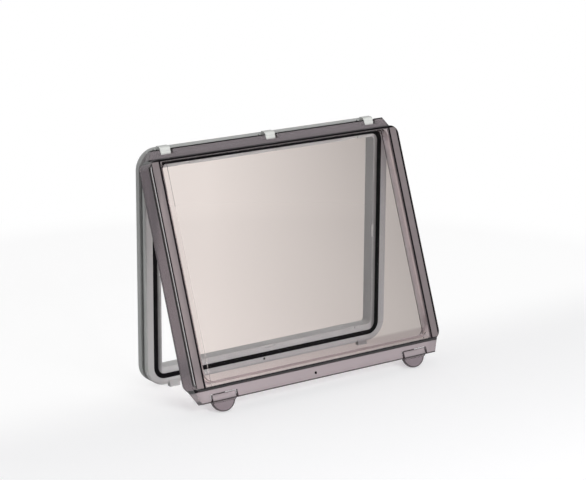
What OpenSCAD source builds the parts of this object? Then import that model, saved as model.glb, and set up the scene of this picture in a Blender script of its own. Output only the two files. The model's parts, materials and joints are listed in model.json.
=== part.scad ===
// Hinged inspection window: a rectangular frame with a sealed opening, closed by a
// transparent cover that hangs on three clips along the top edge and latches on two
// finger tabs along the bottom edge. It stands here with the cover leant out on its tabs.
// X runs along the hinge, the cover faces -Y, +Z is up, and the floor is z = 0.

/* [Frame] */
// Width of the frame
frame_w = 250; // [200:5:320]
// Height of the frame
frame_h = 203; // [170:1:260]
// Depth of the frame, front face to rear face
frame_depth = 14; // [13.6:0.2:18]
// Corner radius of the frame's outline
frame_r = 18; // [16:0.5:24]
// Width of the border from the frame's side to the opening
border_w = 15; // [14.8:0.2:17]
// Thickness of the front flange
flange_t = 4; // [3.6:0.2:4.6]
// Width of the groove behind the front flange
groove_w = 5; // [4:0.5:5.5]
// Depth of the groove behind the front flange
groove_d = 5; // [4:0.25:5.25]
// Thickness of the frame's moulded walls
frame_wall = 2.5; // [2:0.25:2.75]
// Largest spacing of the stiffening ribs behind the frame
rib_pitch = 30; // [20:1:45]
// Length of the notches in the opening's front edge
slot_l = 11; // [8:0.5:14]
// Width of the notches, along the frame's depth
slot_w = 1.5; // [1:0.1:2.4]
// Distance of the outer notches from the frame's side
slot_inset = 38; // [34:1:60]

/* [Seals] */
// Distance from the frame's side to the seal channel
seal_inset = 6.9; // [6.2:0.1:7]
// Width of the cover seal
seal_w = 4.2; // [3.6:0.1:4.4]
// Depth of the seal channel
channel_d = 3; // [2.4:0.2:3.2]
// Height that the seal stands proud of the flange
seal_proud = 0.8; // [0.6:0.1:1.1]
// Thickness of the gasket in the groove
gasket_t = 2.2; // [1.6:0.2:3]
// Distance that the gasket lies inside the frame's outline
gasket_inset = 1; // [0.5:0.25:2]

/* [Cover] */
// Side play between the cover's skirt and the frame
skirt_play = 0.5; // [0.4:0.1:1]
// Wall thickness of the cover
cover_wall = 2.5; // [2:0.1:2.8]
// Height by which the raised part is shorter than the frame
cover_short = 11.5; // [10.4:0.1:12.8]
// Corner radius of the raised part
dome_r = 8; // [6:0.5:10]
// Radius of the cover's rounded front edge
edge_r = 1.8; // [1:0.1:2.2]
// Depth of the cover's skirt
skirt_d = 15.3; // [14.5:0.1:15.6]
// Flare of the skirt's sides from the face to the rim
flare = 1.5; // [0.6:0.1:2]
// Step from the raised part down to the hinge flange
step_top = 6.5; // [6:0.1:6.8]
// Further fall of the hinge flange towards its edge
fall_top = 1.5; // [1:0.1:1.8]
// Height of the hinge flange
flange_top_h = 8.7; // [8:0.1:9.6]
// Step from the raised part down to the latch flange
step_bottom = 3.8; // [3:0.2:4.2]
// Height of the latch flange
flange_bottom_h = 11; // [10:0.25:12.5]
// Width of the thickened band inside the window's upright edges
land_w = 6.5; // [4:0.5:8]
// Thickness that the band adds to the window
land_t = 1; // [0.5:0.1:1.6]
// Width of the rib that presses on the seal
rib_w = 2; // [1.6:0.1:2.4]

/* [Hinge] */
// Distance of the outer hinge clips from the frame's side
clip_inset = 20.4; // [18:0.2:50]
// Width of a hinge clip
clip_w = 10; // [8:0.5:12]
// Radius of the clip's eye
eye_r = 2.4; // [2.1:0.1:2.6]
// Diameter of a hinge pin
pin_d = 2.5; // [2:0.1:2.8]
// Radial running clearance between a pin and its clip
pin_play = 0.05; // [0.02:0.01:0.1]
// Clearance on each side of a clip
clip_play = 0.9; // [0.3:0.1:1]
// Width of each ear that holds a pin
ear_w = 4; // [3:0.25:4.5]
// Depth of the pin behind the raised part's face
pin_depth = 12; // [11.6:0.1:12.4]
// Height of the pin above the raised part
pin_up = 6; // [5.6:0.1:6.4]

/* [Latch] */
// Distance of each tab's middle from the frame's side
tab_inset = 26; // [24:0.5:60]
// Width of a tab
tab_w = 22.8; // [18:0.2:25]
// Length of the slits beside a tab
slit_l = 6.5; // [5.5:0.25:7.5]
// Width of the slits beside a tab
slit_w = 1.8; // [1:0.1:2.4]
// Drop of the half-round grip below the flange
grip_drop = 9.2; // [8:0.2:10.8]
// Distance of the grip's face behind the latch flange's face
grip_back = 2.6; // [2:0.1:3]
// Thickness of the grip
grip_t = 2.2; // [1.8:0.1:2.6]
// Width of a catch nose on the frame
nose_w = 9.5; // [7:0.5:12]
// Drop of a catch nose below the frame
nose_drop = 2; // [1.6:0.1:2.6]
// Reach of a catch nose in front of the frame
nose_reach = 3; // [2:0.1:3]

/* [Hidden] */
$fn = 64;

// Colours
frame_grey = [0.66, 0.66, 0.65];
seal_black = [0.05, 0.05, 0.05];
smoke = [0.55, 0.5, 0.54, 0.6];
clip_white = [0.9, 0.9, 0.88];
steel = [0.7, 0.71, 0.72];

// Clearances: between moving pieces, at a tab's root and catch, in a socket, and past a cut
clear = 0.3;
root_gap = 0.4;
latch_clear = 0.5;
fit = 0.1;
over = 1;

// Frame, as heights above the floor and depths behind its front face
frame_z0 = nose_drop;
frame_z1 = frame_z0 + frame_h;
side_x = frame_w / 2;
lip_y = flange_t + groove_w;
rebate = 0.8;
lip_drop = 0.4;
inner_short = 2;
open_half = side_x - border_w;
open_lift = 0.5;
open_z0 = frame_z0 + border_w + open_lift;
open_z1 = frame_z1 - border_w;
open_r = frame_r - border_w;
slot_d = 2;
mark_d = 2;
mark_depth = 1.5;
mark_x = -6.5;

// Seal, which sits a little lower than the middle of the border
seal_drop = 1.2;
seal_z0 = frame_z0 + seal_inset - seal_drop;
seal_z1 = frame_z1 - seal_inset - seal_drop;
seal_r = frame_r - seal_inset;
crown = [0.4, 0.9];
channel_wall = 1.5;
front_top_z = seal_z1 + channel_wall;

// Hinge axis: the pins stand over the front wall, in front of the recess's back
recess_back = 7.1;
recess_y = frame_depth - recess_back;
pin_stand = 4.5;
eye_lift = 1.4;
hinge_y = recess_y - pin_stand;
hinge_z = front_top_z + eye_r + eye_lift;

// Cover, as depths behind its face and distances down from the raised part's top edge
face_y = hinge_y - pin_depth;
top_z = hinge_z - pin_up;
dome_h = frame_h - cover_short;
half_w = side_x + skirt_play + cover_wall;
flare_angle = atan2(flare, skirt_d);
chamfer_top = [9, 15.7];
chamfer_low = [7, 16];
pin_cover = 0.4;
rear_top = pin_depth + pin_cover;
rear_bottom = 10.5;
low_s = dome_h + flange_bottom_h;
end_wall = 2.9;
edge_wall = 2.4;
rib_half_w = side_x - seal_inset - seal_w / 2;
rib_top_s = top_z - (seal_z1 - seal_w / 2);
rib_low_s = top_z - (seal_z0 + seal_w / 2);
rib_end = -face_y - seal_proud - clear;
rib_root = 0.2;
ear_rim = 0.1;
ear_root = 1.4;
notch_low = 2;
eye_play = 0.45;

// Tabs: a tongue between the slits, a half-round grip, and a barb behind the catch nose
tongue_s = low_s - slit_l;
tongue_t = 2.4;
tongue_end = 2;
grip_root = 1.5;
barb_t = 1.6;
barb_up = 1.3;
barb_chamfer = 0.8;
ledge_t = 1.7;
ledge_side = 1;
nose_back = 1.5;
nose_rise = 3.2;
tab_x = side_x - tab_inset;

// The cover's angle at rest, at which the grips' lower edges meet the floor
tip_s = low_s + grip_drop + pin_up;
tip_d = step_bottom + grip_back + grip_t - pin_depth;
rest_angle = atan2(tip_d, tip_s) + acos(hinge_z / norm([tip_s, tip_d]));
// Front of the footprint, which sets the origin in the middle of the standing part
front_y = hinge_y - tip_s * sin(rest_angle) + (tip_d - grip_t) * cos(rest_angle);
origin_y = -(front_y + frame_depth) / 2;

// Clips, their tails and the bosses that hold them
clip_x = [-side_x + clip_inset, 0, side_x - clip_inset];
clip_rise = 5.3;
clip_top = hinge_z + clip_rise;
clip_nose = 1.6;
clip_front = hinge_y - clip_nose;
crown_r = 2.4;
tail_w = 4;
tail_h = 2.4;
tail_l = 3;
tail_root = 0.5;
boss_side = 2;
boss_drop = 3;

function y_of(d) = face_y + d;
function z_of(s) = top_z - s;

// Outline on the X-Z plane, carried along Y
module along_y(y0, y1) {
    translate([0, y1, 0])
        rotate([90, 0, 0])
            linear_extrude(height = y1 - y0)
                children();
}

// Profile on the Y-Z plane, carried along X
module along_x(x0, x1) {
    translate([x0, 0, 0])
        rotate([90, 0, 90])
            linear_extrude(height = x1 - x0)
                children();
}

// A pair, one on each side of the middle
module both_sides(x) {
    for (side = [-1, 1])
        translate([side * x, 0, 0])
            children();
}

// Rectangle with round corners, from its half width, its lower and upper edge
module round_rect(hw, z0, z1, r) {
    translate([-hw + r, z0])
        square([2 * (hw - r), z1 - z0]);
    translate([-hw, z0 + r])
        square([2 * hw, z1 - z0 - 2 * r]);
    for (x = [-hw + r, hw - r], z = [z0 + r, z1 - r])
        translate([x, z])
            circle(r);
}

// Frame

// The frame's own outline, drawn in by a margin
module frame_outline(inset) {
    round_rect(side_x - inset, frame_z0 + inset, frame_z1 - inset, frame_r - inset);
}

// The opening's outline, grown by a margin
module opening(grow) {
    round_rect(open_half + grow, open_z0 - grow, open_z1 + grow, open_r + grow);
}

// The seal's run, drawn in by a margin from its outer edge
module seal_outline(inset) {
    round_rect(side_x - seal_inset - inset, seal_z0 + inset, seal_z1 - inset, seal_r - inset);
}

// A band of the seal's run between two margins
module seal_band(outer, inner) {
    difference() {
        seal_outline(outer);
        seal_outline(inner);
    }
}

// Front view of the whole cover: slanted ends at the flanges, sides left to the flare
module skirt_outline(inset) {
    wide = half_w + 2 * cover_wall;
    top = half_w - chamfer_top[0];
    low = half_w - chamfer_low[0];
    top_slope = chamfer_top[1] / chamfer_top[0];
    low_slope = chamfer_low[1] / chamfer_low[0];
    top_in = inset * (norm([1, top_slope]) - 1) / top_slope;
    low_in = inset * (norm([1, low_slope]) - 1) / low_slope;
    top_s = inset - flange_top_h;
    low_end = low_s - inset;
    polygon([
        [-top + top_in, z_of(top_s)], [top - top_in, z_of(top_s)],
        [wide - top_in, z_of(top_s + top_slope * (wide - top))],
        [wide - low_in, z_of(low_end - low_slope * (wide - low))],
        [low - low_in, z_of(low_end)], [-low + low_in, z_of(low_end)],
        [-wide + low_in, z_of(low_end - low_slope * (wide - low))],
        [-wide + top_in, z_of(top_s + top_slope * (wide - top))]]);
}

// What stays of the frame's front where the cover's hinge flange and ends need room
module front_outline() {
    intersection() {
        skirt_outline(end_wall + clear + skirt_play);
        translate([-frame_w, frame_z0 - over])
            square([2 * frame_w, front_top_z - frame_z0 + over]);
    }
}

// Stiffening ribs across the hollow behind the frame
module rib_grid() {
    t = frame_wall / 2;
    nx = ceil(2 * open_half / rib_pitch);
    nz = ceil((open_z1 - open_z0) / rib_pitch);
    for (i = [0 : nx])
        translate([-open_half + i * 2 * open_half / nx - t / 2, frame_z0])
            square([t, frame_h]);
    for (i = [0 : nz])
        translate([-side_x, open_z0 + i * (open_z1 - open_z0) / nz - t / 2])
            square([frame_w, t]);
}

// Hollow between the groove's wall and the opening's wall, open to the rear
module rear_hollow() {
    difference() {
        frame_outline(groove_d + frame_wall);
        opening(frame_wall);
        rib_grid();
    }
}

// One notch, sunk from the opening's lower wall and open to the front, along X
module edge_notch() {
    translate([-slot_l / 2, -over, -slot_d])
        cube([slot_l, slot_w + over, slot_d + over]);
}

module edge_notches() {
    mid_z = (open_z0 + open_z1) / 2;
    for (x = [-side_x + slot_inset, 0, side_x - slot_inset]) {
        translate([x, 0, open_z0])
            edge_notch();
        translate([x, 0, open_z1])
            mirror([0, 0, 1])
                edge_notch();
    }
    translate([open_half, 0, mid_z])
        rotate([0, -90, 0])
            edge_notch();
    translate([-open_half, 0, mid_z])
        rotate([0, 90, 0])
            edge_notch();
}

// Catch nose at the frame's foot: a block that slopes down to the front
module catch_nose() {
    back = nose_back;
    root = frame_z0 + nose_rise;
    along_x(-nose_w / 2, nose_w / 2)
        polygon([
            [-nose_reach, 0], [back, 0], [back, frame_z0 + rebate], [lip_drop, root],
            [0, root], [-nose_reach, frame_z0]]);
}

// Seat for a clip on the frame's top edge
module clip_boss() {
    w = clip_w + 2 * boss_side;
    translate([-w / 2, recess_y, hinge_z - boss_drop])
        cube([w, lip_y - recess_y + fit, frame_z1 - hinge_z + boss_drop]);
}

// Socket that takes a clip's tail
module tail_socket() {
    translate([-tail_w / 2 - fit, recess_y - over, hinge_z - tail_h / 2 - fit])
        cube([tail_w + 2 * fit, over + tail_l + fit, tail_h + 2 * fit]);
}

module frame_blank() {
    along_y(rebate, flange_t)
        frame_outline(0);
    along_y(0, rebate)
        frame_outline(rebate);
    along_y(flange_t, lip_y)
        frame_outline(groove_d);
    along_y(lip_y, frame_depth)
        frame_outline(0);
    for (x = clip_x)
        translate([x, 0, 0])
            clip_boss();
}

module frame_cuts() {
    along_y(-over, frame_depth + over)
        opening(0);
    along_y(-over, channel_d)
        seal_band(0, seal_w);
    // lip inside the channel, a little lower than the front face
    along_y(-over, lip_drop)
        difference() {
            seal_outline(seal_w);
            opening(-over);
        }
    // room for the cover's hinge flange and for its slanted ends
    along_y(-over, recess_y)
        difference() {
            translate([-frame_w, (frame_z0 + frame_z1) / 2])
                square([2 * frame_w, frame_h]);
            front_outline();
        }
    // the opening's wall stops short of the rear rim
    along_y(frame_depth - inner_short, frame_depth + over)
        frame_outline(groove_d + frame_wall);
    along_y(flange_t, frame_depth + over)
        rear_hollow();
    edge_notches();
    for (x = clip_x)
        translate([x, 0, 0])
            tail_socket();
    // gate mark on the lower border
    translate([mark_x, mark_depth, frame_z0 + (seal_z0 - frame_z0) * 0.7])
        rotate([90, 0, 0])
            cylinder(d = mark_d, h = mark_depth + over);
}

module base_frame() {
    color(frame_grey) {
        difference() {
            frame_blank();
            frame_cuts();
        }
        both_sides(tab_x)
            catch_nose();
    }
}

// Black seal: a base that fills the channel and a stepped crown that stands proud
module cover_seal() {
    color(seal_black) {
        along_y(0, channel_d)
            seal_band(0, seal_w);
        along_y(-seal_proud / 2, 0)
            seal_band(crown[0], seal_w - crown[0]);
        along_y(-seal_proud, -seal_proud / 2)
            seal_band(crown[1], seal_w - crown[1]);
    }
}

// Gasket behind the front flange, cut off along the top by the hinge recess
module groove_gasket() {
    color(seal_black)
        along_y(flange_t, flange_t + gasket_t)
            difference() {
                intersection() {
                    frame_outline(gasket_inset);
                    front_outline();
                }
                frame_outline(groove_d);
            }
}

// Cover

// Section of the raised part's inside, from a corner's axis out to its flared wall
module hollow_section() {
    slope = tan(flare_angle);
    reach = dome_r - cover_wall / cos(flare_angle);
    polygon([
        [0, cover_wall], [reach + cover_wall * slope, cover_wall],
        [reach + (skirt_d + over) * slope, skirt_d + over], [0, skirt_d + over]]);
}

// Section of the raised part's outside, with its round front edge
module solid_section() {
    u = dome_r + edge_r * tan(flare_angle) - edge_r / cos(flare_angle);
    translate([u, edge_r])
        circle(edge_r);
    polygon([
        [0, 0], [u, 0], [u, edge_r],
        [u + edge_r * cos(flare_angle), edge_r - edge_r * sin(flare_angle)],
        [dome_r + flare, skirt_d], [0, skirt_d]]);
}

module dome_section(solid) {
    if (solid)
        solid_section();
    else
        hollow_section();
}

// The raised part, or its hollow: a quarter turn at each corner between straight runs
module dome(solid) {
    run_x = half_w - dome_r;
    run_z = dome_h / 2 - dome_r;
    d0 = solid ? 0 : cover_wall;
    d1 = solid ? skirt_d : skirt_d + over;
    translate([0, y_of(0), z_of(dome_h / 2)]) {
        for (left = [0, 1], low = [0, 1])
            mirror([left, 0, 0])
                mirror([0, 0, low])
                    translate([run_x, 0, run_z])
                        mirror([0, 0, 1])
                            rotate([-90, 0, 0])
                                rotate_extrude(angle = 90)
                                    dome_section(solid);
        for (left = [0, 1])
            mirror([left, 0, 0])
                translate([run_x, 0, -run_z])
                    linear_extrude(height = 2 * run_z)
                        dome_section(solid);
        for (low = [0, 1])
            mirror([0, 0, low])
                translate([-run_x, 0, run_z])
                    rotate([90, 0, 90])
                        linear_extrude(height = 2 * run_x)
                            mirror([1, -1, 0])
                                dome_section(solid);
        translate([-run_x, d0, -run_z])
            cube([2 * run_x, d1 - d0, 2 * run_z]);
    }
}

// The skirt's two flared sides, as a block over the whole height
module flared_block(inset) {
    far = skirt_d + 2 * over;
    hw = half_w - inset / cos(flare_angle);
    out = hw + far * tan(flare_angle);
    translate([0, y_of(0), z_of(low_s + over)])
        linear_extrude(height = low_s + flange_top_h + 2 * over)
            polygon([[-hw, 0], [hw, 0], [out, far], [-out, far]]);
}

// The two flanges between their faces and a rear depth, the hinge flange falling to its edge
module flange_block(top_face, low_face, rear) {
    wide = half_w + 2 * cover_wall;
    along_x(-wide, wide)
        polygon([
            [y_of(top_face + fall_top), z_of(-flange_top_h)],
            [y_of(top_face), z_of(0)], [y_of(top_face), z_of(dome_h / 2)],
            [y_of(low_face), z_of(dome_h / 2)], [y_of(low_face), z_of(low_s)],
            [y_of(rear), z_of(low_s)], [y_of(rear), z_of(-flange_top_h)]]);
}

// Side view that the rim and the flanges' rear edges allow
module rear_limit() {
    polygon([
        [y_of(-over), z_of(-flange_top_h)], [y_of(-over), z_of(low_s)],
        [y_of(rear_bottom), z_of(low_s)], [y_of(skirt_d), z_of(low_s - chamfer_low[1])],
        [y_of(skirt_d), z_of(chamfer_top[1] - flange_top_h)],
        [y_of(rear_top), z_of(-flange_top_h)]]);
}

module cover_solid() {
    wide = half_w + 2 * cover_wall;
    intersection() {
        union() {
            dome(true);
            intersection() {
                flange_block(step_top, step_bottom, skirt_d);
                flared_block(0);
                along_y(y_of(0), y_of(skirt_d))
                    skirt_outline(0);
            }
        }
        along_x(-wide, wide)
            rear_limit();
    }
}

module cover_hollow() {
    dome(false);
    intersection() {
        flange_block(rib_end, step_bottom + edge_wall, skirt_d + over);
        flared_block(cover_wall);
        along_y(y_of(0), y_of(skirt_d + over))
            skirt_outline(end_wall);
    }
}

// Rib that presses on the seal all round
module seal_rib() {
    out = rib_w / 2;
    r = seal_r - seal_w / 2;
    along_y(y_of(cover_wall - rib_root), y_of(rib_end))
        difference() {
            round_rect(rib_half_w + out, z_of(rib_low_s + out), z_of(rib_top_s - out), r + out);
            round_rect(rib_half_w - out, z_of(rib_low_s - out), z_of(rib_top_s + out), r - out);
        }
}

// Thicker bands just inside the window's upright edges
module side_lands() {
    both_sides(rib_half_w + rib_w / 2 - land_w / 2)
        along_y(y_of(cover_wall - rib_root), y_of(cover_wall + land_t))
            translate([-land_w / 2, z_of(dome_h - cover_wall)])
                square([land_w, dome_h - 2 * cover_wall]);
}

// One ear that holds a pin's end
module ear() {
    rim = eye_r + ear_rim;
    along_x(-ear_w / 2, ear_w / 2) {
        translate([hinge_y, hinge_z])
            circle(rim);
        polygon([
            [y_of(step_top + fall_top + over), z_of(fit - flange_top_h)],
            [y_of(step_top + ear_root), z_of(rim - pin_up)],
            [hinge_y, z_of(rim - pin_up)], [hinge_y, z_of(fit - flange_top_h)]]);
    }
}

module ears() {
    reach = clip_w / 2 + clip_play + ear_w / 2;
    for (x = clip_x)
        translate([x, 0, 0])
            both_sides(reach)
                ear();
}

// Gap in the hinge flange that a clip stands in, and the pin's bore through both ears
module clip_notch() {
    hw = clip_w / 2 + clip_play;
    translate([-hw, y_of(step_top - over), z_of(notch_low - pin_up)])
        cube([2 * hw, skirt_d, flange_top_h + notch_low]);
    translate([-hw, hinge_y, hinge_z])
        rotate([0, 90, 0])
            cylinder(r = eye_r + eye_play, h = 2 * hw);
    translate([-hw - ear_w, hinge_y, hinge_z])
        rotate([0, 90, 0])
            cylinder(d = pin_d, h = 2 * (hw + ear_w));
}

// Gap in the latch flange for a tab and its slits, and for the ledge behind it
module tab_gap() {
    hw = tab_w / 2 + slit_w;
    ledge = nose_w + 2 * ledge_side;
    translate([-hw, y_of(-over), z_of(low_s + over)])
        cube([2 * hw, skirt_d + 2 * over, slit_l + over]);
    translate([-ledge, y_of(step_bottom + edge_wall), z_of(low_s + over)])
        cube([2 * ledge, skirt_d, slit_l + 3 * over]);
}

module closed_cover() {
    difference() {
        union() {
            difference() {
                cover_solid();
                cover_hollow();
            }
            seal_rib();
            side_lands();
            ears();
        }
        for (x = clip_x)
            translate([x, 0, 0])
                clip_notch();
        both_sides(tab_x)
            tab_gap();
        // gate mark on the latch flange
        translate([mark_x, y_of(step_bottom) + mark_depth, z_of(dome_h + flange_bottom_h / 2)])
            rotate([90, 0, 0])
                cylinder(d = mark_d, h = mark_depth + over);
    }
}

// Turns the cover's pieces from closed to their angle at rest
module at_rest() {
    translate([0, hinge_y, hinge_z])
        rotate([-rest_angle, 0, 0])
            translate([0, -hinge_y, -hinge_z])
                children();
}

module window_cover() {
    color(smoke)
        at_rest()
            closed_cover();
}

// Hinge

// Clip's side view: an eye round the pin under a block with a round crown
module clip_profile() {
    translate([hinge_y, hinge_z])
        circle(eye_r);
    translate([hinge_y, hinge_z - eye_r])
        square([recess_y - hinge_y, eye_r + crown_r]);
    translate([clip_front, hinge_z])
        square([recess_y - clip_front, clip_rise - crown_r]);
    translate([clip_front + crown_r, hinge_z])
        square([recess_y - clip_front - crown_r, clip_rise]);
    translate([clip_front + crown_r, clip_top - crown_r])
        circle(crown_r);
}

module hinge_clip(x) {
    color(clip_white)
        translate([x, 0, 0])
            difference() {
                union() {
                    along_x(-clip_w / 2, clip_w / 2)
                        clip_profile();
                    translate([-tail_w / 2, recess_y - tail_root, hinge_z - tail_h / 2])
                        cube([tail_w, tail_l + tail_root, tail_h]);
                }
                translate([-clip_w, hinge_y, hinge_z])
                    rotate([0, 90, 0])
                        cylinder(r = pin_d / 2 + pin_play, h = 2 * clip_w);
            }
}

module hinge_pin(x) {
    l = clip_w + 2 * clip_play + 2 * ear_w;
    color(steel)
        translate([x - l / 2, hinge_y, hinge_z])
            rotate([0, 90, 0])
                cylinder(d = pin_d, h = l);
}

// Latch

// Tongue's side view, stepping back to the grip
module tongue_profile() {
    d0 = step_bottom;
    top = z_of(tongue_s + root_gap);
    polygon([
        [y_of(d0), top], [y_of(d0), z_of(low_s)],
        [y_of(d0 + grip_back), z_of(low_s + grip_root)],
        [y_of(d0 + grip_back + grip_t), z_of(low_s)],
        [y_of(d0 + tongue_t), z_of(low_s - tongue_end)], [y_of(d0 + tongue_t), top]]);
}

// Half-round grip: a circle through the tongue's corners and its lowest point
module grip_outline() {
    hw = tab_w / 2;
    r = (hw * hw + grip_drop * grip_drop) / (2 * grip_drop);
    intersection() {
        translate([0, z_of(low_s + grip_drop) + r])
            circle(r);
        translate([-hw, z_of(low_s + grip_drop)])
            square([tab_w, grip_drop]);
    }
}

// Ledge under the catch nose, with a barb behind it
module ledge_profile() {
    top = -latch_clear;
    back = nose_back + clear;
    end = back + barb_t;
    root_y = y_of(step_bottom + tongue_t) - fit;
    polygon([
        [root_y, top], [root_y, top - ledge_t], [end, top - ledge_t],
        [end, top + barb_up - barb_chamfer], [end - barb_chamfer, top + barb_up],
        [back, top + barb_up], [back, top]]);
}

module latch_tab(side) {
    grip_d = step_bottom + grip_back;
    color(smoke)
        at_rest()
            translate([side * tab_x, 0, 0]) {
                along_x(-tab_w / 2, tab_w / 2)
                    tongue_profile();
                along_y(y_of(grip_d), y_of(grip_d + grip_t))
                    grip_outline();
                along_x(-nose_w / 2 - ledge_side, nose_w / 2 + ledge_side)
                    ledge_profile();
            }
}

// Moves a piece from the frame's own origin to the middle of the standing part
module placed() {
    translate([0, origin_y, 0])
        children();
}

placed() base_frame();
placed() cover_seal();
placed() groove_gasket();
placed() window_cover();
placed() hinge_clip(clip_x[0]);  // hinge_clip_left
placed() hinge_clip(clip_x[1]);  // hinge_clip_middle
placed() hinge_clip(clip_x[2]);  // hinge_clip_right
placed() hinge_pin(clip_x[0]);  // hinge_pin_left
placed() hinge_pin(clip_x[1]);  // hinge_pin_middle
placed() hinge_pin(clip_x[2]);  // hinge_pin_right
placed() latch_tab(-1);  // latch_tab_left
placed() latch_tab(1);  // latch_tab_right
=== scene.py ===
"""Finishes the hinged inspection window: its plastics, rubber and steel, and a plain studio."""

import json
import math

import bpy
import numpy as np
from bpy.props import FloatProperty, FloatVectorProperty, PointerProperty
from mathutils import Matrix, Vector


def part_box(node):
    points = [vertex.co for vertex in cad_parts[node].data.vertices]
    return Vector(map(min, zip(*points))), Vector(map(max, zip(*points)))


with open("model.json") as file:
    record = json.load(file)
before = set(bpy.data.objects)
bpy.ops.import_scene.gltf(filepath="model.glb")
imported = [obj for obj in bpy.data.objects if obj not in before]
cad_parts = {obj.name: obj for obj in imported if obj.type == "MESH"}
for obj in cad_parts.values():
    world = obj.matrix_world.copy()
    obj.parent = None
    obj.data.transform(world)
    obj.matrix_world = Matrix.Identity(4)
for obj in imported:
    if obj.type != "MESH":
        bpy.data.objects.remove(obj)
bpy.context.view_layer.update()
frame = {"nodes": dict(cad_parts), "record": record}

bl_info = {
    "name": "Inspection window finishes",
    "version": (1, 0, 0),
    "blender": (4, 5, 0),
    "location": "3D View > Sidebar > Window",
    "description": "Finishes and studio for a hinged inspection window",
    "category": "Object",
}

MM = 0.001

# The CAD's pieces, by what they are made of
FRAME_NODES = ("base_frame",)
RUBBER_NODES = ("cover_seal", "groove_gasket")
CLEAR_NODES = ("window_cover", "latch_tab_left", "latch_tab_right")
CLIP_NODES = ("hinge_clip_left", "hinge_clip_middle", "hinge_clip_right")
PIN_NODES = ("hinge_pin_left", "hinge_pin_middle", "hinge_pin_right")

# Sizes of the cover and its seal, in millimetres
WALL = 2.5
FACE_HALF = 126.4  # from the middle to the side of the face
FACE_FLAT = 0.05  # points this near the foremost one are on the flat face
FACE_INSET = 1.63  # from the flat of the face to the outside of a wall
STEP_TOP = 6.7  # just past the step from the face down to the hinge flange
WALL_END = 15.3  # depth at which the side walls end
TOP_FLANGE = 8.7
LOW_FLANGE = 11.0
END_SLANT = 0.636  # run of the latch flange's cut ends for each unit down
SLIT_LENGTH = 6.5
SLIT_WIDTH = 1.8
GRIP_DROP = 9.2
SEAL_WIDTH = 4.2
RIB_WIDTH = 2.0
RIB_DEPTH = 8.5  # from the face to the end of the rib that presses on the seal
LOW_SHADE_BAND = 9.0  # height of the band of painted shade above the lower rib
BAND_BLEND = 3.0
MARK_X = -6.5
MARK_RADIUS = 1.2

# How far the cover's painted shade lines reach from the edge that each belongs to, in millimetres
EDGE_BLEND = 0.3  # width of every zone's soft edge
FAR = 1000.0  # past the part on any side
AHEAD = -1.0  # a little ahead of a face
SKIN = (AHEAD, 0.4)
FACE_LINE = (-1.2, 0.7)
OUTER_LINE = (1.0, 2.4)
OUTER_DEPTH = (0.4, 2.0)
TOP_LINE = (-0.6, 2.3)
TOP_WALL_FROM = 0.9
LOW_LINE = (-2.3, 0.4)
RIB_LINE = (1.0, 2.8)
RIB_MARGIN = 0.15
RIB_BEHIND = (0.3, 0.4)  # past the wall at its root and past its own depth
SLIT_MARGIN = 0.2
SLIT_LINE = (-0.4, 0.5)
FLANGE_RIM = 1.2
WALL_RIM = 0.6
GRIP_RIM = 0.9
END_RIM = 0.8

# Sizes on the frame, in millimetres, and how dark the painted shade is on its land beside the seal
# and in its gate mark
FRAME_DEPTH = 14.0
FRAME_LOW = 2.0  # height of the frame's lower edge
LAND_WIDTH = 3.9
LAND_LAP = 0.1
LAND_START = 1.0  # the shade begins this far inside the opening
LAND_DEPTH = (AHEAD, 0.8)
# painted shade at the inner end of the land and beside the seal
LAND_SHADE = (0.2, 0.75)
FRAME_MARK_RADIUS = 1.1
FRAME_MARK_RISE = 0.7  # share of the height from the frame's edge to the seal
FRAME_MARK_DEPTH = (AHEAD, 3.0)
FRAME_MARK_SHADE = 0.95

# Finishes
FRAME_TONE = 0.02
CLIP_TONE = 0.015
CLIP_ROUGHNESS = 0.38
GLOSS_SPREAD = 0.05
GRAIN_DETAIL = 4.0
SPREAD_DETAIL = 3.0
NOISE_RANGE = (0.35, 0.65)  # where most of a noise lies
CLEAR_IOR = 1.58
POLISH = 0.02  # roughness of the polished window and of the dark lines
# Strength of the painted shade on the rim, and the share of light the rib and the painted shade
# lines scatter
RIM_SHADE_SHARE = 0.8
RIB_SCATTER = 0.35
SHADE_LINE_SCATTER = 0.92
SHADOW_GAMMA = 0.35

# Strength of the even light all round the part
SKY = 0.42
# What clear plastic and gloss see of the room: pale at the horizon, dim overhead
ROOM_COLOUR = (0.8, 0.8, 0.8, 1)
ROOM_FADE = (0.0, 0.2)
ROOM_TONE = (1.0, 0.04)
# The pale backdrop behind the part, as they see it
BACK_FADE = (0.1, 0.5)
BACK_TONE = (0.0, 1.0)
# The shade of that backdrop through clear plastic, from one side to the other, in metres
BACKDROP_TURN = math.radians(32.5)
BACKDROP_FADE = (-0.07, 0.16)
BACKDROP_SHADE = (0.97, 0.53)
# Distances from the middle over which the floor turns into the even backdrop
FLOOR_FADE = (0.25, 0.6)
FLOOR_BACK = (-0.06, 0.08)
BACK_SHARE = 0.85
FLOOR_RADII = (0.5, 1.5, 4.0, 12.0)
FLOOR_SIDES = 64

# Lamps in metres and watts, and the camera in millimetres from the middle of the frame's front
LAMP_TARGET = (0, 0, 0.1)
KEY_LAMP = {"place": (-0.05, -1.9, 0.9), "size": 1.1, "power": 41}
TOP_LAMP = {"place": (0.5, 0.5, 1.9), "size": 1.2, "power": 1}
CAMERA_TARGET = (24.1, 0.0, 108.6)
CAMERA_PLACE = (-971.6, -1404.0, 580.1)
CAMERA_ROLL = math.radians(0.37)
CAMERA_SENSOR = 36
CAMERA_CLIP = (0.01, 100)

WHITE = (1, 1, 1, 1)


# Node trees

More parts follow.
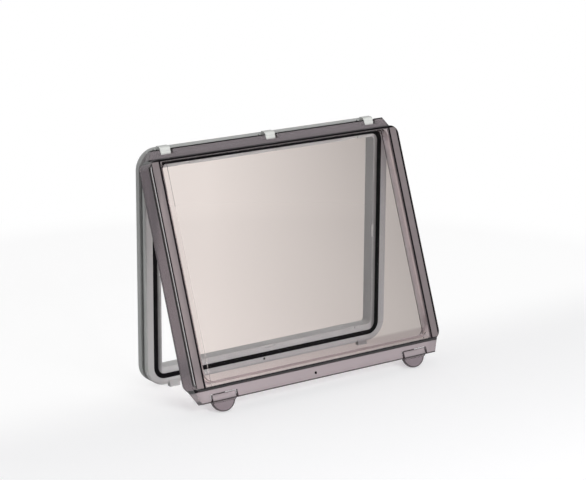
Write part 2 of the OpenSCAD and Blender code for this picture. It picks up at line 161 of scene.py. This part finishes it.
class Tree:
    """Builds the nodes of a material or a world one after another, in tidy rows."""

    COLUMNS = 6
    COLUMN_WIDTH, ROW_HEIGHT = 220, 260
    # Sockets of the mix node that belong to colours
    COLOUR_MIX = {"Factor": 0, "A": 6, "B": 7, "Result": 2}

    def __init__(self, owner):
        self.owner = owner
        owner.use_nodes = True
        self.nodes = owner.node_tree.nodes
        self.links = owner.node_tree.links
        self.nodes.clear()
        self.count = 0

    def set(self, node, key, value):
        """Gives a socket its value, or its link where the value is another socket."""
        if isinstance(value, bpy.types.NodeSocket):
            self.links.new(value, node.inputs[key])
        else:
            node.inputs[key].default_value = value

    def add(self, kind, inputs=None, **settings):
        """A node of one kind, with its settings and the values or links of its sockets."""
        node = self.nodes.new(kind)
        row, column = divmod(self.count, self.COLUMNS)
        node.location = (self.COLUMN_WIDTH * column, -self.ROW_HEIGHT * row)
        self.count += 1
        for key, value in settings.items():
            setattr(node, key, value)
        for key, value in (inputs or {}).items():
            self.set(node, key, value)
        return node

    def place(self, scale=1.0):
        """Object coordinates, multiplied by a scale."""
        where = self.add("ShaderNodeTexCoord")
        mapping = self.add("ShaderNodeMapping", {"Vector": where.outputs["Object"],
                                                 "Scale": (scale, scale, scale)})
        return mapping.outputs["Vector"]

    def split(self, vector):
        """The X, Y and Z of a vector."""
        return self.add("ShaderNodeSeparateXYZ", {"Vector": vector}).outputs

    def math(self, operation, a, b=0.0):
        """One step of arithmetic on one or two values."""
        return self.add("ShaderNodeMath", {0: a, 1: b}, operation=operation).outputs[0]

    def both(self, a, b):
        """The product of two values: where both zones are."""
        return self.math("MULTIPLY", a, b)

    def largest(self, first, *others):
        """The largest of some values: where any of the zones is."""
        for other in others:
            first = self.math("MAXIMUM", first, other)
        return first

    def length(self, a, b):
        """The square root of the sum of two squares."""
        return self.math("SQRT", self.math("ADD", self.both(a, a), self.both(b, b)))

    def ramp(self, value, low, high, to_low=0.0, to_high=1.0, shape="SMOOTHSTEP"):
        """Carries a value from one range to another, smoothly unless the shape is linear."""
        return self.add("ShaderNodeMapRange", {
            "Value": value, "From Min": low, "From Max": high, "To Min": to_low,
            "To Max": to_high}, interpolation_type=shape).outputs["Result"]

    def inside(self, value, low, high):
        """One between two values and zero outside them, with soft edges."""
        rise = self.ramp(value, low - EDGE_BLEND / 2, low + EDGE_BLEND / 2)
        fall = self.ramp(value, high + EDGE_BLEND / 2, high - EDGE_BLEND / 2)
        return self.both(rise, fall)

    def near(self, value, edge, reach):
        """One where a value lies within a reach, low and high, of an edge."""
        return self.inside(value, edge + reach[0], edge + reach[1])

    def blend(self, factor, a, b, kind="MIX"):
        """Two colours mixed or multiplied."""
        mix = self.add("ShaderNodeMix", data_type="RGBA", blend_type=kind)
        for key, value in (("Factor", factor), ("A", a), ("B", b)):
            self.set(mix, self.COLOUR_MIX[key], value)
        return mix.outputs[self.COLOUR_MIX["Result"]]

    def grey(self, value):
        """A colour with one value in all its channels."""
        return self.add("ShaderNodeCombineColor",
                        {"Red": value, "Green": value, "Blue": value}).outputs["Color"]

    def either(self, factor, a, b):
        """The first shader where the factor is zero and the second where it is one."""
        return self.add("ShaderNodeMixShader", {0: factor, 1: a, 2: b}).outputs["Shader"]

    def finish(self, surface, volume=None):
        """Links the shaders to the output and returns the material or the world."""
        world = isinstance(self.owner, bpy.types.World)
        out = self.add("ShaderNodeOutputWorld" if world else "ShaderNodeOutputMaterial",
                       {"Surface": surface})
        if volume is not None:
            self.set(out, "Volume", volume)
        return self.owner


def new_material(name):
    """The node tree of a new material."""
    return Tree(bpy.data.materials.new(name))


def noise(tree, scale, detail):
    """Noise over the piece, with so many patches to the metre."""
    return tree.add("ShaderNodeTexNoise", {"Vector": tree.place(), "Scale": scale,
                                           "Detail": detail}).outputs["Fac"]


def grain(tree, scale, strength, distance):
    """Fine moulding grain: a noise taken as height."""
    return tree.add("ShaderNodeBump", {
        "Strength": strength, "Distance": distance,
        "Height": noise(tree, scale, GRAIN_DETAIL)}).outputs["Normal"]


def spread(tree, scale, low, high):
    """A slow change between two values over the surface."""
    return tree.ramp(noise(tree, scale, SPREAD_DETAIL), *NOISE_RANGE, low, high, "LINEAR")


# Finishes

def moulded_plastic(name, colour, roughness, tone, painted_shading=None):
    """Satin moulded plastic: fine grain, slow change of gloss and a faint change of tone."""
    tree = new_material(name)
    shade = spread(tree, scale=30.0, low=1 - tone, high=1 + tone)
    # An optional painted shade multiplies the random tone where its mask lies
    if painted_shading is not None:
        shade = tree.both(shade, painted_shading(tree))
    body = tree.add("ShaderNodeBsdfPrincipled", {
        "Base Color": tree.blend(1.0, (*colour, 1), tree.grey(shade), "MULTIPLY"),
        "Roughness": spread(tree, scale=55.0, low=roughness - GLOSS_SPREAD,
                            high=roughness + GLOSS_SPREAD),
        "Normal": grain(tree, scale=2600.0, strength=0.12, distance=0.1 * MM)})
    return tree.finish(body.outputs["BSDF"])


def rubber(name, colour):
    """Matt black rubber with an extruded skin."""
    tree = new_material(name)
    body = tree.add("ShaderNodeBsdfPrincipled", {
        "Base Color": (*colour, 1), "Specular IOR Level": 0.08,
        "Roughness": spread(tree, scale=80.0, low=0.55, high=0.72),
        "Normal": grain(tree, scale=3200.0, strength=0.2, distance=0.1 * MM)})
    return tree.finish(body.outputs["BSDF"])


def drawn_steel(name, colour):
    """Bright drawn wire with a fine grain."""
    tree = new_material(name)
    body = tree.add("ShaderNodeBsdfPrincipled", {
        "Base Color": (*colour, 1), "Metallic": 1.0,
        "Roughness": spread(tree, scale=400.0, low=0.2, high=0.35),
        "Normal": grain(tree, scale=4000.0, strength=0.1, distance=0.05 * MM)})
    return tree.finish(body.outputs["BSDF"])


def box_mm(name):
    """The lowest and the highest corner of a CAD node, in millimetres."""
    return [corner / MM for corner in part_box(name)]


def frame_painted_shade(tree):
    """Painted shade on the frame: darker on the land beside the seal's long runs, where the seal's
    shade falls, and in the hollow of the gate mark.
    """
    low, high = box_mm("cover_seal")
    front = box_mm("base_frame")[1].y - FRAME_DEPTH
    place = tree.split(tree.place(1 / MM))
    across = tree.math("ABSOLUTE", place["X"])
    seal_in = high.x - SEAL_WIDTH
    shaded_land = tree.both(tree.inside(across, seal_in - LAND_WIDTH, seal_in + LAND_LAP),
                     tree.both(tree.near(place["Y"], front, LAND_DEPTH),
                               tree.inside(place["Z"], low.z + SEAL_WIDTH, high.z - SEAL_WIDTH)))
    # Painted shade on the land, deepening from the opening towards the seal
    shade = tree.ramp(across, seal_in - LAND_WIDTH - LAND_START, seal_in, *LAND_SHADE)
    # Painted shade in the hollow of the gate mark
    mark_z = FRAME_LOW + (low.z - FRAME_LOW) * FRAME_MARK_RISE
    away = tree.length(tree.math("SUBTRACT", place["X"], MARK_X),
                       tree.math("SUBTRACT", place["Z"], mark_z))
    shaded_mark = tree.both(tree.inside(away, AHEAD, FRAME_MARK_RADIUS),
                     tree.near(place["Y"], front, FRAME_MARK_DEPTH))
    painted_shade = tree.largest(tree.both(shaded_land, shade), tree.both(shaded_mark, FRAME_MARK_SHADE))
    return tree.math("SUBTRACT", 1.0, painted_shade)


def closed_cover():
    """Where the closed cover lies: its hinge, its angle at rest and its face, in millimetres."""
    joint = next(j for j in frame["record"]["behaviour"]["joints"] if j["name"] == "cover_hinge")
    hinge = np.array(joint["pos_m"]) / MM
    angle = math.radians(-joint["range_deg"][0])
    mesh = frame["nodes"]["window_cover"].data
    points = np.empty(3 * len(mesh.vertices), np.float32)
    mesh.vertices.foreach_get("co", points)
    turn = np.array(Matrix.Rotation(angle, 3, "X"))
    points = (points.reshape(-1, 3) / MM - hinge) @ turn.T
    face = points[:, 1].min()
    on_face = points[points[:, 1] < face + FACE_FLAT]
    return {"hinge": hinge, "angle": angle, "turn": turn, "face": face,
            "top": on_face[:, 2].max() + FACE_INSET, "low": on_face[:, 2].min() - FACE_INSET}


def cover_place(tree, cover):
    """Places on the closed cover, in millimetres: across, behind its face, down from its top."""
    shift = -cover["turn"] @ cover["hinge"] - np.array([0, cover["face"], cover["top"]])
    where = tree.add("ShaderNodeTexCoord")
    mapping = tree.add("ShaderNodeMapping", {
        "Vector": where.outputs["Object"], "Location": tuple(shift),
        "Rotation": (cover["angle"], 0, 0), "Scale": (1 / MM,) * 3})
    place = tree.split(mapping.outputs["Vector"])
    return place["X"], place["Y"], tree.both(place["Z"], -1.0)


def cover_zones(tree):
    """Zones of the cover: satin border, walls, flanges, grips, sealing rib and edges with painted
    shade.

    Each zone is one on its part of the closed cover and zero elsewhere. The shade lines are the
    edges painted darkest and the shade rim is the ones painted a little lighter: painted shade
    that stands in for the dark inner reflections along the clear plastic's edges and the shade in
    its slits.
    """
    cover = closed_cover()
    x, behind, down = cover_place(tree, cover)
    across = tree.math("ABSOLUTE", x)
    height = cover["top"] - cover["low"]
    flange_low = height + LOW_FLANGE

    # Middle of the sealing rib, which presses on the middle of the seal
    low, high = box_mm("cover_seal")
    rib = (high.x - low.x - SEAL_WIDTH) / 2
    rib_top, rib_low = (cover["top"] + cover["hinge"][2] - z
                        for z in (high.z - SEAL_WIDTH / 2, low.z + SEAL_WIDTH / 2))
    half = RIB_WIDTH / 2

    side = tree.inside(across, rib + half, FAR)
    above = tree.inside(down, -FAR, 0)
    below = tree.inside(down, height, flange_low)
    grip = tree.inside(down, flange_low, FAR)
    band_top = tree.inside(down, 0, rib_top + half)
    # Painted shade over the lower band, in place of the shaded floor seen through it
    band_low_shade = tree.ramp(down, rib_low - LOW_SHADE_BAND, rib_low - LOW_SHADE_BAND + BAND_BLEND)

    reach = half + RIB_MARGIN
    side_rib = tree.near(across, rib, (-reach, reach))
    low_rib = tree.both(tree.near(down, rib_low, (-reach, reach)),
                        tree.inside(across, 0, rib + half))
    standing = tree.inside(behind, WALL + RIB_BEHIND[0], RIB_DEPTH + RIB_BEHIND[1])

    face_edge = tree.both(tree.near(across, FACE_HALF, FACE_LINE), tree.inside(behind, *SKIN))
    outer_edge = tree.both(tree.near(across, FACE_HALF, OUTER_LINE),
                           tree.inside(behind, *OUTER_DEPTH))
    rib_root = tree.both(tree.both(tree.near(across, rib, RIB_LINE), tree.inside(behind, *SKIN)),
                         tree.inside(down, 0, height))
    top_wall = tree.largest(tree.inside(down, *TOP_LINE),
                            tree.both(tree.inside(down, TOP_LINE[0], WALL),
                                      tree.inside(behind, TOP_WALL_FROM, STEP_TOP)))
    low_wall = tree.near(down, height, LOW_LINE)
    top_rim = tree.inside(down, -FAR, FLANGE_RIM - TOP_FLANGE)
    low_rim = tree.inside(down, flange_low - FLANGE_RIM, flange_low)
    wall_end = tree.both(side, tree.inside(behind, WALL_END - WALL_RIM, FAR))
    slant = tree.math("ADD", across, tree.both(tree.math("SUBTRACT", down, height), END_SLANT))
    flange_end = tree.both(below, tree.inside(slant, FACE_HALF + END_RIM, FAR))
    from_mark = tree.length(tree.math("SUBTRACT", x, MARK_X),
                            tree.math("SUBTRACT", down, height + LOW_FLANGE / 2))
    shaded_mark = tree.both(tree.inside(from_mark, AHEAD, MARK_RADIUS),
                     tree.inside(behind, AHEAD, STEP_TOP))

    # Painted shade in the slits beside each latch tab, along its root between them and round the
    # rim of its grip
    tab_in, tab_out = (corner.x for corner in box_mm("latch_tab_right"))
    tab_x, tab_half = (tab_in + tab_out) / 2, (tab_out - tab_in) / 2
    slit_root = flange_low - SLIT_LENGTH
    aside = tree.math("SUBTRACT", across, tab_x)
    from_tab = tree.math("ABSOLUTE", aside)
    slits = tree.both(
        tree.inside(from_tab, tab_half - SLIT_MARGIN, tab_half + SLIT_WIDTH + SLIT_MARGIN),
        tree.inside(down, slit_root - SLIT_MARGIN, flange_low + SLIT_MARGIN))
    slit_end = tree.both(tree.inside(from_tab, 0, tab_half),
                         tree.near(down, slit_root, SLIT_LINE))
    grip_radius = (tab_half ** 2 + GRIP_DROP ** 2) / (2 * GRIP_DROP)
    grip_middle = flange_low + GRIP_DROP - grip_radius
    from_middle = tree.length(aside, tree.math("SUBTRACT", down, grip_middle))
    grip_edge = tree.both(grip, tree.inside(from_middle, grip_radius - GRIP_RIM, FAR))

    return {
        "border": tree.largest(side, above, band_top, below, grip),
        "side": side, "above": above, "below": below, "grip": grip,
        "band_top": band_top, "band_low_shade": band_low_shade,
        "wall": tree.both(side, tree.inside(behind, WALL, FAR)),
        "rib": tree.both(tree.largest(side_rib, low_rib), standing),
        "shade_lines": tree.largest(rib_root, face_edge, outer_edge, top_wall, low_wall, shaded_mark,
                              top_rim),
        "rim": tree.largest(low_rim, wall_end, slits, slit_end, grip_edge, flange_end),
    }


def smoked_clear(name, settings):
    """Smoked plastic: a polished clear window in a satin border that looks denser.

    The border, the walls and the flanges scatter some light, and the edges where a wall
    stands behind the face carry nearly black painted shade in place of their dark inner
    reflections, so the colour changes with the place on the closed cover.
    """
    tree = new_material(name)
    zones = cover_zones(tree)
    colour = WHITE
    for zone, paint in (("band_low_shade", settings.low_band_shade), ("side", settings.band),
                        ("band_top", settings.band), ("wall", settings.wall),
                        ("rib", settings.rib), ("above", settings.top_flange),
                        ("below", settings.low_flange), ("grip", settings.grip)):
        colour = tree.blend(zones[zone], colour, (*paint, 1))
    # Painted shade: the rim and the lines take the nearly black edge colour
    colour = tree.blend(tree.both(zones["rim"], RIM_SHADE_SHARE), colour, (*settings.edge, 1))
    colour = tree.blend(zones["shade_lines"], colour, (*settings.edge, 1))
    opaque = tree.largest(tree.both(zones["border"], settings.scatter),
                          tree.both(zones["rib"], RIB_SCATTER),
                          tree.both(zones["shade_lines"], SHADE_LINE_SCATTER))
    satin = tree.math("SUBTRACT", zones["border"], zones["shade_lines"])
    glass = tree.add("ShaderNodeBsdfPrincipled", {
        "Base Color": colour, "IOR": CLEAR_IOR,
        "Roughness": tree.ramp(satin, 0.0, 1.0, POLISH, settings.satin, "LINEAR"),
        "Transmission Weight": tree.math("SUBTRACT", 1.0, opaque)})

    # Shadow rays pass straight through, so the part's shadow stays pale
    once = tree.add("ShaderNodeGamma", {"Color": colour, "Gamma": SHADOW_GAMMA}).outputs[0]
    dim = tree.blend(1.0, once, (*settings.shadow, 1), "MULTIPLY")
    through = tree.add("ShaderNodeBsdfTransparent", {"Color": dim})
    path = tree.add("ShaderNodeLightPath").outputs
    smoke = tree.add("ShaderNodeVolumeAbsorption", {"Color": (*settings.tint, 1),
                                                    "Density": settings.density})
    surface = tree.either(path["Is Shadow Ray"], glass.outputs["BSDF"], through.outputs["BSDF"])
    return tree.finish(surface, smoke.outputs["Volume"])


def dress(names, material):
    """Puts one material on CAD nodes."""
    for name in names:
        node = frame["nodes"][name]
        node.data.materials.clear()
        node.data.materials.append(material)


# Studio

def make_floor(settings):
    """A round plain floor.

    Each point stands at one of the radii, along the cosine and the sine of its share of a
    full turn. A fan joins the middle to the first ring, and bands of quads join the rings.
    """
    turn = np.linspace(0, 2 * math.pi, FLOOR_SIDES, endpoint=False)
    rings = np.stack([np.outer(FLOOR_RADII, np.cos(turn)), np.outer(FLOOR_RADII, np.sin(turn)),
                      np.zeros((len(FLOOR_RADII), FLOOR_SIDES))], axis=-1).reshape(-1, 3)
    points = np.vstack([[[0, 0, 0]], rings])
    here = 1 + np.arange(FLOOR_SIDES)
    after = np.roll(here, -1)
    faces = np.stack([np.zeros_like(here), here, after], axis=-1).tolist()
    for first in range(0, FLOOR_SIDES * (len(FLOOR_RADII) - 1), FLOOR_SIDES):
        a, b = here + first, after + first
        faces += np.stack([a, a + FLOOR_SIDES, b + FLOOR_SIDES, b], axis=-1).tolist()
    mesh = bpy.data.meshes.new("floor")
    mesh.from_pydata(points.tolist(), [], faces)
    floor = bpy.data.objects.new("floor", mesh)
    bpy.context.scene.collection.objects.link(floor)
    mesh.materials.append(pale_floor(settings))


def pale_floor(settings):
    """Pale floor that keeps the shadow near the part and is an even backdrop further out.

    What shows through the clear plastic is the same floor under a backdrop that darkens
    from one side to the other.
    """
    tree = new_material("pale_floor")
    path = tree.add("ShaderNodeLightPath").outputs
    where = tree.add("ShaderNodeTexCoord").outputs["Object"]
    turned = tree.add("ShaderNodeMapping", {"Vector": where, "Rotation": (0, 0, BACKDROP_TURN)})
    shade = tree.ramp(tree.split(turned.outputs["Vector"])["X"], *BACKDROP_FADE,
                      *BACKDROP_SHADE, "LINEAR")
    warm = tree.blend(1.0, tree.grey(shade), (*settings.backdrop, 1), "MULTIPLY")
    seen_colour = tree.blend(path["Is Transmission Ray"], WHITE, warm)
    floor_colour = tree.blend(1.0, seen_colour, (*settings.floor_colour, 1), "MULTIPLY")
    body = tree.add("ShaderNodeBsdfDiffuse", {"Color": floor_colour}).outputs["BSDF"]
    glow = tree.add("ShaderNodeEmission", {"Color": seen_colour, "Strength": settings.glow})
    lit = tree.add("ShaderNodeAddShader", {0: body, 1: glow.outputs["Emission"]})
    even = tree.add("ShaderNodeEmission", {"Color": seen_colour, "Strength": 1.0})
    distance = tree.add("ShaderNodeVectorMath", {0: where}, operation="LENGTH").outputs["Value"]
    behind = tree.ramp(tree.split(where)["Y"], *FLOOR_BACK, 0.0, BACK_SHARE)
    far = tree.largest(tree.ramp(distance, *FLOOR_FADE), behind)
    shown = tree.either(far, lit.outputs["Shader"], even.outputs["Emission"])
    seen = tree.largest(path["Is Camera Ray"], path["Is Transmission Ray"])
    return tree.finish(tree.either(seen, body, shown))


def make_world(scene):
    """White to the camera. Gloss and clear plastic see it pale low down and behind, dim above."""
    tree = Tree(bpy.data.worlds.new("studio"))

    def light(strength, colour=WHITE):
        """An even light of one strength and colour."""
        return tree.add("ShaderNodeBackground",
                        {"Color": colour, "Strength": strength}).outputs["Background"]

    where = tree.split(tree.add("ShaderNodeTexCoord").outputs["Generated"])
    low_down = tree.ramp(where["Z"], *ROOM_FADE, *ROOM_TONE, "LINEAR")
    behind = tree.ramp(where["Y"], *BACK_FADE, *BACK_TONE, "LINEAR")
    path = tree.add("ShaderNodeLightPath").outputs
    mirrored = tree.largest(path["Is Glossy Ray"], path["Is Transmission Ray"])
    room = light(tree.largest(low_down, behind), ROOM_COLOUR)
    unseen = tree.either(mirrored, light(SKY), room)
    scene.world = tree.finish(tree.either(path["Is Camera Ray"], unseen, light(1.0)))


def make_lamp(name, place, size, power):
    """A square soft lamp that faces the part."""
    data = bpy.data.lights.new(name, "AREA")
    data.shape = "SQUARE"
    data.size = size
    data.energy = power
    lamp = bpy.data.objects.new(name, data)
    bpy.context.scene.collection.objects.link(lamp)
    lamp.location = place
    lamp.rotation_euler = facing(place, LAMP_TARGET).to_euler()


def facing(place, target):
    """The turn that points the -Z axis from a place to its target, with Y upwards."""
    return (Vector(target) - Vector(place)).to_track_quat("-Z", "Y")


def make_camera(scene, settings):
    """The camera, placed from the middle of the frame's front and rolled about its own axis."""
    data = bpy.data.cameras.new("camera")
    data.lens = settings.lens
    data.sensor_width = CAMERA_SENSOR
    data.clip_start, data.clip_end = CAMERA_CLIP
    camera = bpy.data.objects.new("camera", data)
    scene.collection.objects.link(camera)
    front = Vector((0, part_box("base_frame")[1].y - FRAME_DEPTH * MM, 0))
    target = front + Vector(CAMERA_TARGET) * MM
    place = front + Vector(CAMERA_PLACE) * MM
    camera.matrix_world = (Matrix.Translation(place)
                           @ facing(place, target).to_matrix().to_4x4()
                           @ Matrix.Rotation(CAMERA_ROLL, 4, "Z"))
    scene.camera = camera


# Settings

class FrameSettings(bpy.types.PropertyGroup):
    """Finishes of the frame, the seals and the hinges"""

    colour: FloatVectorProperty(name="Frame colour", description="Colour of the moulded frame",
                                subtype="COLOR", size=3, min=0, max=1, default=(0.40, 0.41, 0.40))
    roughness: FloatProperty(name="Frame roughness", description="Roughness of the moulded frame",
                             subtype="FACTOR", min=0, max=1, default=0.42)
    clip_colour: FloatVectorProperty(name="Clip colour", description="Colour of the hinge clips",
                                     subtype="COLOR", size=3, min=0, max=1,
                                     default=(0.54, 0.55, 0.53))
    rubber_colour: FloatVectorProperty(name="Rubber colour", description="Colour of the seals",
                                       subtype="COLOR", size=3, min=0, max=1,
                                       default=(0.003, 0.003, 0.0035))
    pin_colour: FloatVectorProperty(name="Pin colour", description="Colour of the hinge pins",
                                    subtype="COLOR", size=3, min=0, max=1,
                                    default=(0.6, 0.61, 0.62))


class CoverSettings(bpy.types.PropertyGroup):
    """Finishes of the smoked cover's zones"""

    tint: FloatVectorProperty(name="Smoke tint", description="Colour that passes the plastic best",
                              subtype="COLOR", size=3, min=0, max=1, default=(0.5, 0.355, 0.35))
    density: FloatProperty(name="Smoke density", description="Light taken up for each metre",
                           min=0, max=500, default=80.0)
    band: FloatVectorProperty(name="Band colour", description="Colour round the seal's rib",
                              subtype="COLOR", size=3, min=0, max=1, default=(0.345, 0.305, 0.31))
    rib: FloatVectorProperty(name="Rib colour", description="Colour of the sealing rib",
                             subtype="COLOR", size=3, min=0, max=1, default=(0.76, 0.73, 0.75))
    # Painted shade: this colour darkens the window just above the latch flange, in place of the
    # shaded floor seen through it
    low_band_shade: FloatVectorProperty(name="Lower band colour",
                                  description="Colour just above the latch flange",
                                  subtype="COLOR", size=3, min=0, max=1,
                                  default=(0.80, 0.775, 0.785))
    wall: FloatVectorProperty(name="Wall colour", description="Colour of the side walls",
                              subtype="COLOR", size=3, min=0, max=1, default=(0.31, 0.26, 0.285))
    top_flange: FloatVectorProperty(name="Hinge flange colour",
                                    description="Colour of the hinge flange",
                                    subtype="COLOR", size=3, min=0, max=1,
                                    default=(0.31, 0.28, 0.295))
    low_flange: FloatVectorProperty(name="Latch flange colour",
                                    description="Colour of the latch flange",
                                    subtype="COLOR", size=3, min=0, max=1,
                                    default=(0.50, 0.45, 0.47))
    grip: FloatVectorProperty(name="Grip colour", description="Colour of the finger grips",
                              subtype="COLOR", size=3, min=0, max=1, default=(0.33, 0.285, 0.31))
    # Painted shade: the colour painted on the cover's dark edges and slits
    edge: FloatVectorProperty(name="Edge colour", description="Colour of the dark edges",
                              subtype="COLOR", size=3, min=0, max=1, default=(0.005, 0.004, 0.005))
    scatter: FloatProperty(name="Border scatter", description="Share of light the border scatters",
                           subtype="FACTOR", min=0, max=1, default=0.42)
    satin: FloatProperty(name="Border roughness", description="Roughness of the border",
                         subtype="FACTOR", min=0, max=1, default=0.14)
    shadow: FloatVectorProperty(name="Shadow colour", description="Light passed by each surface",
                                subtype="COLOR", size=3, min=0, max=1, default=(0.82, 0.80, 0.82))


class StageSettings(bpy.types.PropertyGroup):
    """Colours of the studio and its lens"""

    floor_colour: FloatVectorProperty(name="Floor colour", description="Colour of the floor",
                                      subtype="COLOR", size=3, min=0, max=1,
                                      default=(0.84, 0.84, 0.85))
    glow: FloatProperty(name="Floor glow", description="Light that the floor adds where it is seen",
                        min=0, max=1, default=0.2)
    backdrop: FloatVectorProperty(name="Backdrop colour",
                                  description="Colour of the backdrop behind clear plastic",
                                  subtype="COLOR", size=3, min=0, max=1,
                                  default=(1.0, 0.935, 0.889))
    lens: FloatProperty(name="Lens", description="Focal length of the camera", unit="CAMERA",
                        min=20, max=300, default=126.4)


# Operators

class PART_OT_frame_finish(bpy.types.Operator):
    """Gives the frame its satin grey plastic"""
    bl_idname = "part.frame_finish"
    bl_label = "Finish the frame"

    def execute(self, context):
        settings = context.scene.part_frame
        dress(FRAME_NODES, moulded_plastic("satin_grey_plastic", settings.colour,
                                           settings.roughness, FRAME_TONE, frame_painted_shade))
        return {"FINISHED"}


class PART_OT_seal_finish(bpy.types.Operator):
    """Gives the seal and the gasket their black rubber"""
    bl_idname = "part.seal_finish"
    bl_label = "Finish the seals"

    def execute(self, context):
        dress(RUBBER_NODES, rubber("black_rubber", context.scene.part_frame.rubber_colour))
        return {"FINISHED"}


class PART_OT_hinge_finish(bpy.types.Operator):
    """Gives the hinge clips their off-white plastic and the pins their steel"""
    bl_idname = "part.hinge_finish"
    bl_label = "Finish the hinges"

    def execute(self, context):
        settings = context.scene.part_frame
        dress(CLIP_NODES, moulded_plastic("off_white_plastic", settings.clip_colour,
                                          CLIP_ROUGHNESS, CLIP_TONE))
        dress(PIN_NODES, drawn_steel("drawn_steel", settings.pin_colour))
        return {"FINISHED"}


class PART_OT_cover_finish(bpy.types.Operator):
    """Gives the cover and its latch tabs their smoked clear plastic"""
    bl_idname = "part.cover_finish"
    bl_label = "Finish the cover"

    def execute(self, context):
        settings = context.scene.part_cover
        dress(CLEAR_NODES, smoked_clear("smoked_polycarbonate", settings))
        return {"FINISHED"}


class PART_OT_studio(bpy.types.Operator):
    """Sets the floor, the lamps, the world and the camera"""
    bl_idname = "part.studio"
    bl_label = "Set the studio"

    def execute(self, context):
        settings = context.scene.part_stage
        make_floor(settings)
        make_world(context.scene)
        make_lamp("key_lamp", **KEY_LAMP)
        make_lamp("top_lamp", **TOP_LAMP)
        make_camera(context.scene, settings)
        return {"FINISHED"}


# Panel and registration

class PART_PT_window(bpy.types.Panel):
    """Lists the finishes and the studio"""
    bl_label = "Inspection window"
    bl_idname = "PART_PT_window"
    bl_space_type = "VIEW_3D"
    bl_region_type = "UI"
    bl_category = "Window"

    def draw(self, context):
        layout = self.layout
        for group in ("part_frame", "part_cover", "part_stage"):
            settings = getattr(context.scene, group)
            box = layout.box()
            for name in settings.__annotations__:
                box.prop(settings, name)
        for operator in STEPS:
            layout.operator(operator.bl_idname)


SETTINGS = {"part_frame": FrameSettings, "part_cover": CoverSettings, "part_stage": StageSettings}
STEPS = (PART_OT_frame_finish, PART_OT_seal_finish, PART_OT_hinge_finish, PART_OT_cover_finish,
         PART_OT_studio)
CLASSES = (*SETTINGS.values(), *STEPS, PART_PT_window)


def register():
    for each in CLASSES:
        bpy.utils.register_class(each)
    for name, group in SETTINGS.items():
        setattr(bpy.types.Scene, name, PointerProperty(type=group))


def unregister():
    for name in SETTINGS:
        delattr(bpy.types.Scene, name)
    for each in reversed(CLASSES):
        bpy.utils.unregister_class(each)


def main():
    register()
    scene = bpy.context.scene
    scene.view_settings.view_transform = "Standard"
    bpy.ops.part.frame_finish()
    bpy.ops.part.seal_finish()
    bpy.ops.part.hinge_finish()
    bpy.ops.part.cover_finish()
    bpy.ops.part.studio()


if __name__ == "__main__":
    main()
